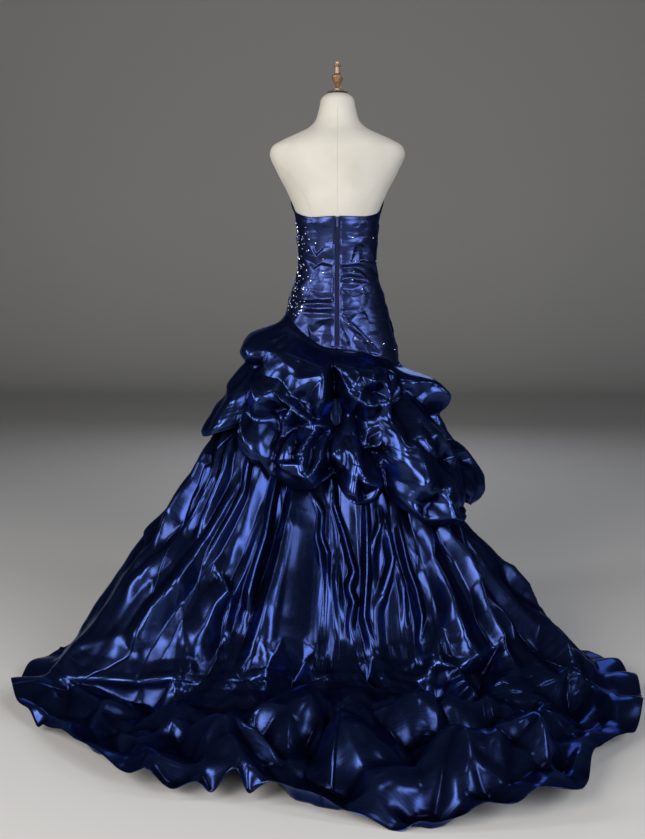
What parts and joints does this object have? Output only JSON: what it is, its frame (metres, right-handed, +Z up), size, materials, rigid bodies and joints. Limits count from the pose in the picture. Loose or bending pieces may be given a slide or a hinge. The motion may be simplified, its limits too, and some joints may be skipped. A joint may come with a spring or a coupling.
{
  "type": "prom dress on dress form",
  "caption": "Strapless floor-length dress with a back zip, a pick-up overskirt and a train, on a limbless dress form with a pole and a round foot.",
  "frame": {"origin": "centre of the stand foot's underside, on the floor under the form's axis", "axes": "+Z up, +Y towards the zip and the train, +X towards the wearer's left"},
  "size_m": [1.6006, 1.6376, 1.6472],
  "materials": {
    "royal_blue_taffeta": "lustrous woven taffeta",
    "form_linen": "matt linen cover",
    "turned_walnut": "satin varnish",
    "painted_steel": "satin powder coat",
    "zip_nylon": "dyed nylon coil and tape",
    "slider_enamel": "enamelled zinc"
  },
  "bodies": {
    "root": {"form_torso": "form_linen", "form_neck_cap": "turned_walnut", "form_finial": "turned_walnut", "stand_foot": "painted_steel", "stand_pole": "painted_steel", "bodice_front": "royal_blue_taffeta", "bodice_back_left": "royal_blue_taffeta", "bodice_back_right": "royal_blue_taffeta", "zip_strip": "zip_nylon", "zip_slider": "slider_enamel", "overskirt_front": "royal_blue_taffeta", "overskirt_back_left": "royal_blue_taffeta", "overskirt_back_right": "royal_blue_taffeta", "skirt_front": "royal_blue_taffeta", "skirt_side_left": "royal_blue_taffeta", "skirt_side_right": "royal_blue_taffeta", "skirt_back_left": "royal_blue_taffeta", "skirt_back_right": "royal_blue_taffeta"},
    "zip_pull": {"zip_pull": "slider_enamel"}
  },
  "joints": [
    {"name": "zip_pull_hinge", "type": "hinge", "parent": "root", "child": "zip_pull", "pos_m": [0, 0.09547, 1.2165], "axis": [1, 0, 0], "range_deg": [0, 150]}
  ]
}
